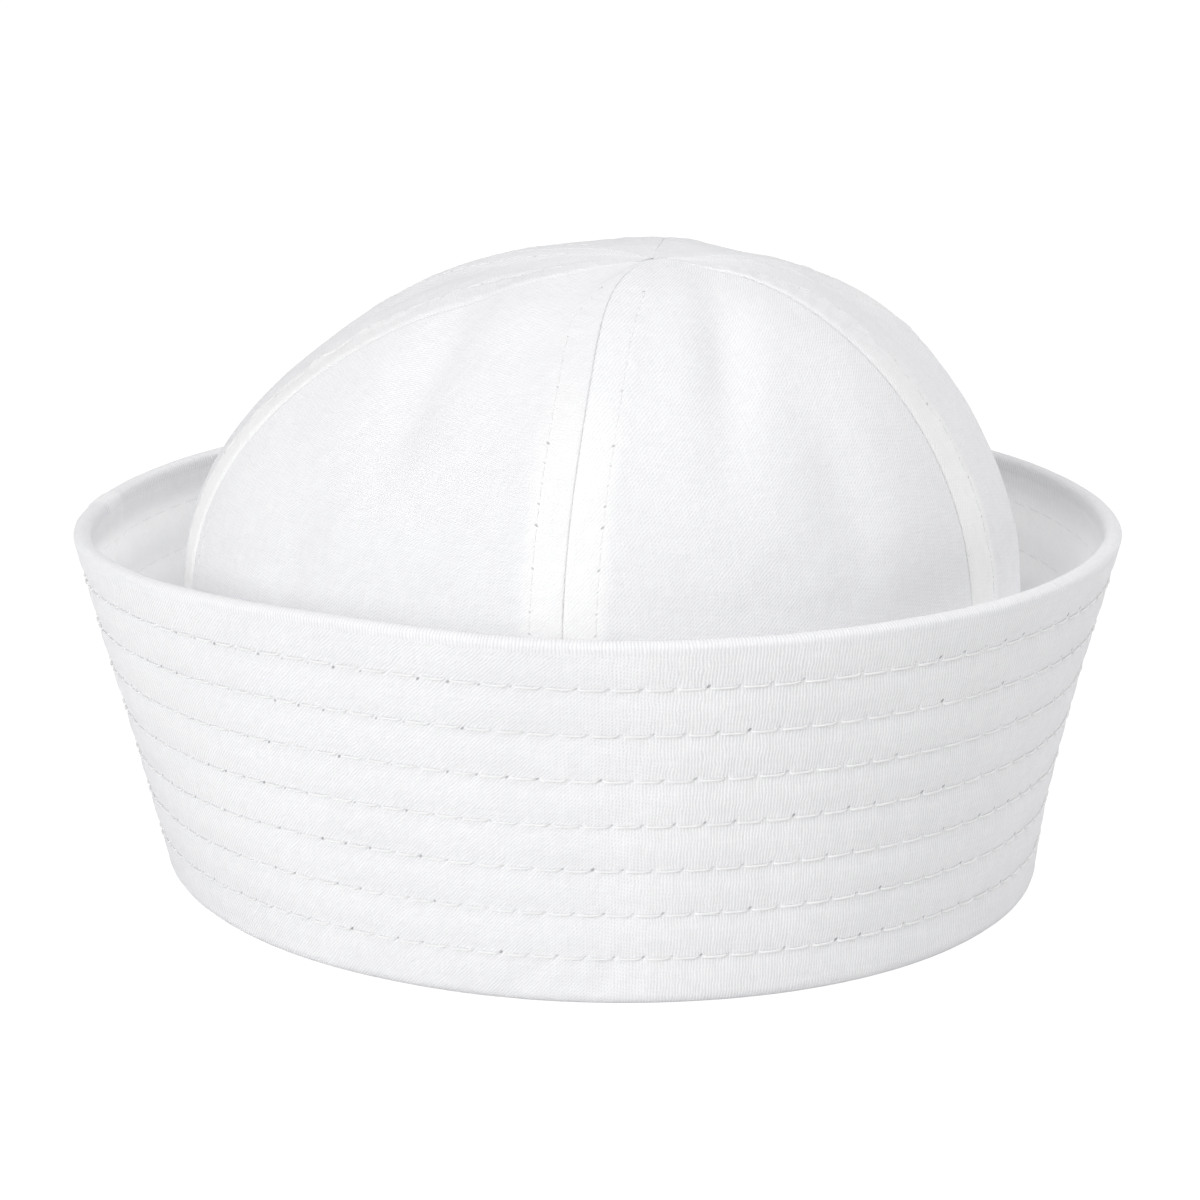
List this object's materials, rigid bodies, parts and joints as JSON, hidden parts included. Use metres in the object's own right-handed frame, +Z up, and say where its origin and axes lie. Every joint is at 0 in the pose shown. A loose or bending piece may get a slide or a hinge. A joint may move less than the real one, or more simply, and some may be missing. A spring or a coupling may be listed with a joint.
{
  "type": "sailor cap",
  "caption": "White cotton sailor cap with a domed gored crown standing inside a tall turned-up brim stitched round in rows.",
  "frame": {"origin": "middle of the cap's outline in plan, on the surface that the brim's fold stands on", "axes": "+Z up through the crown, +X to the cap's right in the front view, front of the cap towards -Y"},
  "size_m": [0.224, 0.218, 0.1368],
  "materials": {
    "brim_twill": "bleached cotton twill, matt, doubled and stitched round in seven rows",
    "crown_twill": "bleached cotton twill, matt, one layer with pressed and topstitched seams"
  },
  "bodies": {
    "root": {"brim": "brim_twill", "crown_gore_front_right": "crown_twill", "crown_gore_right": "crown_twill", "crown_gore_back_right": "crown_twill", "crown_gore_back_left": "crown_twill", "crown_gore_left": "crown_twill", "crown_gore_front_left": "crown_twill"}
  },
  "joints": []
}
